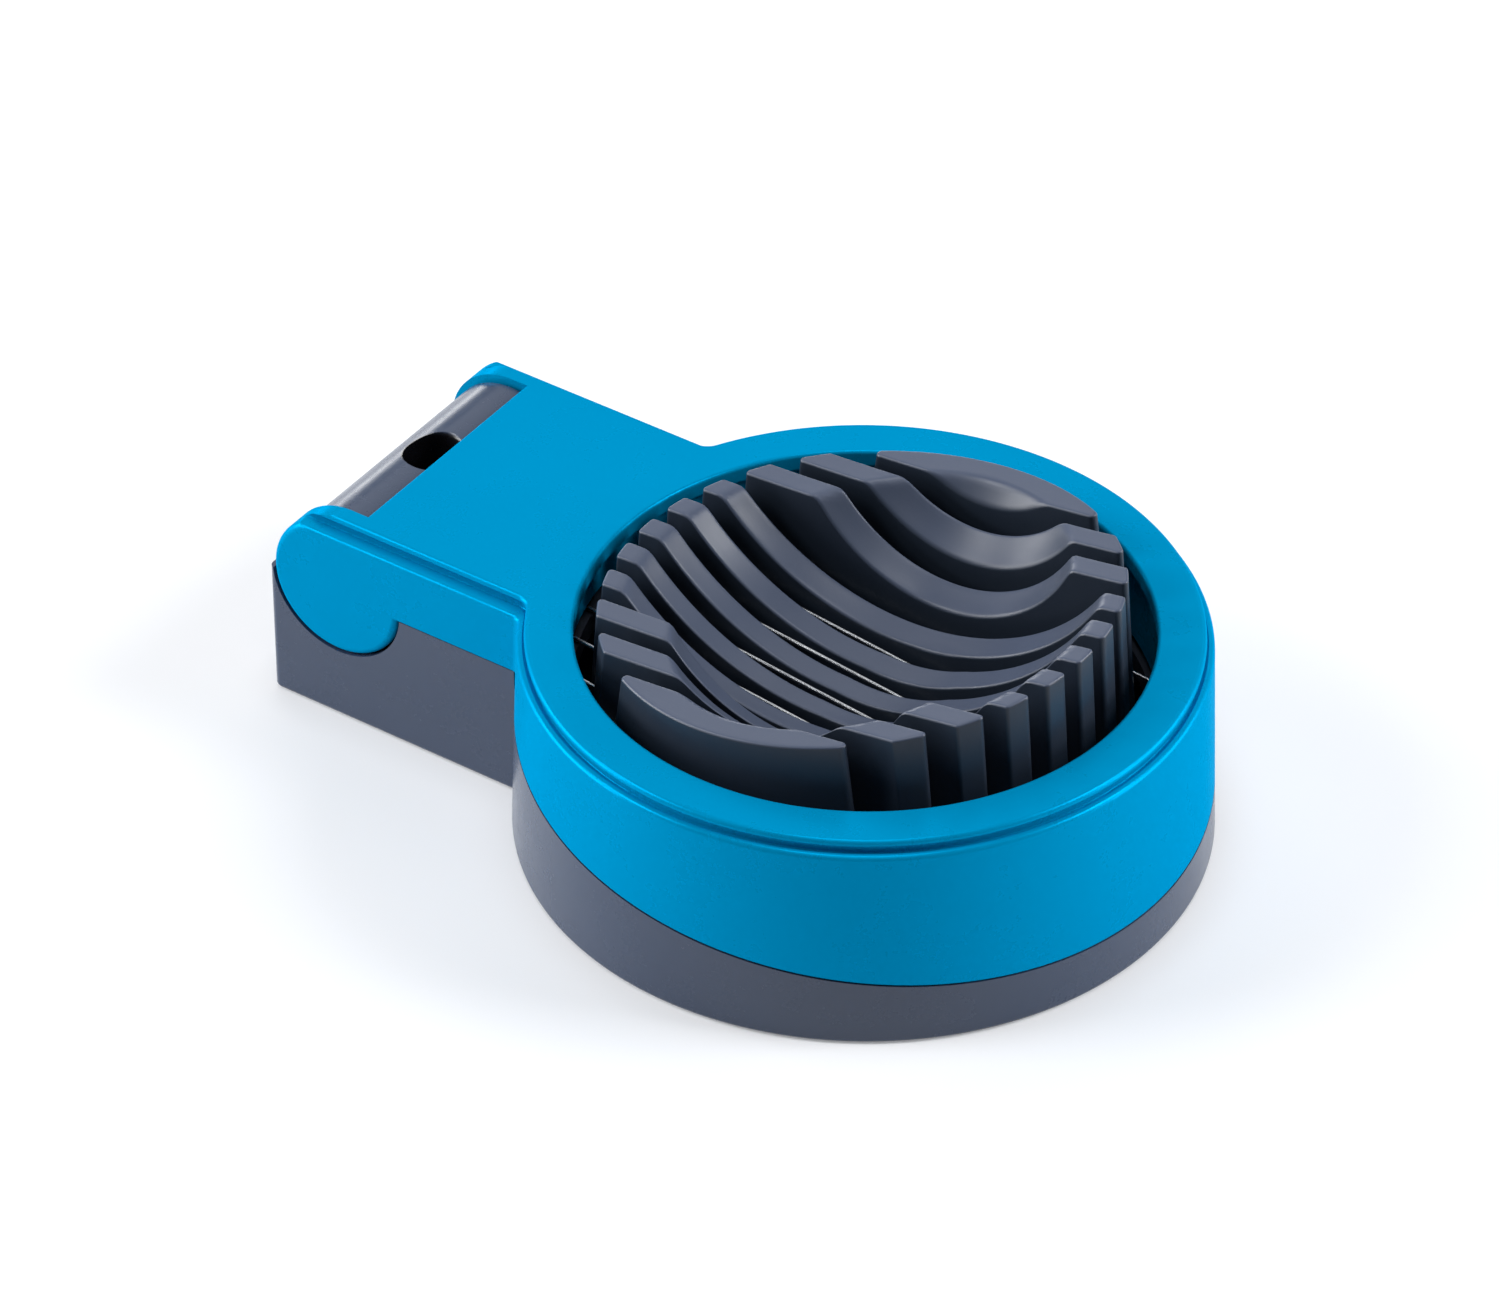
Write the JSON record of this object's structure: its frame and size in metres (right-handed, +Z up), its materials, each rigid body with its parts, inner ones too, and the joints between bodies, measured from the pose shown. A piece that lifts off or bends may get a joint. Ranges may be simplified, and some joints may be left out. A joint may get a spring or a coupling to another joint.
{
  "type": "egg slicer",
  "caption": "Hinged egg slicer: a round slate base with a ribbed, slotted egg bed, and a blue frame-shaped lid carrying taut parallel cutting wires.",
  "frame": {"origin": "centre of the round drum, on the flat underside that the slicer rests on", "axes": "+X from the hinge towards the free tip of the lid, +Y across the wires, +Z up"},
  "size_m": [0.1222, 0.0892, 0.0399],
  "materials": {
    "lid_plastic": "satin moulded plastic, bright blue",
    "base_plastic": "satin moulded plastic, slate grey",
    "tray_plastic": "satin moulded plastic, dark slate",
    "carrier_plastic": "moulded plastic, dark slate",
    "pad_rubber": "soft non-slip pad",
    "screw_steel": "plated steel screw",
    "pin_steel": "ground steel pin",
    "wire_steel": "bright drawn stainless wire"
  },
  "bodies": {
    "base": {"base_shell": "base_plastic", "egg_tray": "tray_plastic", "foot_pad_1": "pad_rubber", "foot_pad_2": "pad_rubber", "foot_pad_3": "pad_rubber", "foot_pad_4": "pad_rubber", "tray_screw_1": "screw_steel", "tray_screw_2": "screw_steel", "tray_screw_3": "screw_steel", "hinge_pin_right": "pin_steel", "hinge_pin_left": "pin_steel"},
    "lid": {"lid_frame": "lid_plastic", "wire_carrier": "carrier_plastic", "carrier_screw_1": "screw_steel", "carrier_screw_2": "screw_steel", "carrier_screw_3": "screw_steel", "carrier_screw_4": "screw_steel", "wire_01": "wire_steel", "wire_02": "wire_steel", "wire_03": "wire_steel", "wire_04": "wire_steel", "wire_05": "wire_steel", "wire_06": "wire_steel", "wire_07": "wire_steel", "wire_08": "wire_steel", "wire_09": "wire_steel", "wire_10": "wire_steel"}
  },
  "joints": [
    {"name": "lid_hinge", "type": "hinge", "parent": "base", "child": "lid", "pos_m": [-0.0668, 0, 0.0205], "axis": [0, -1, 0], "range_deg": [0, 100]}
  ]
}
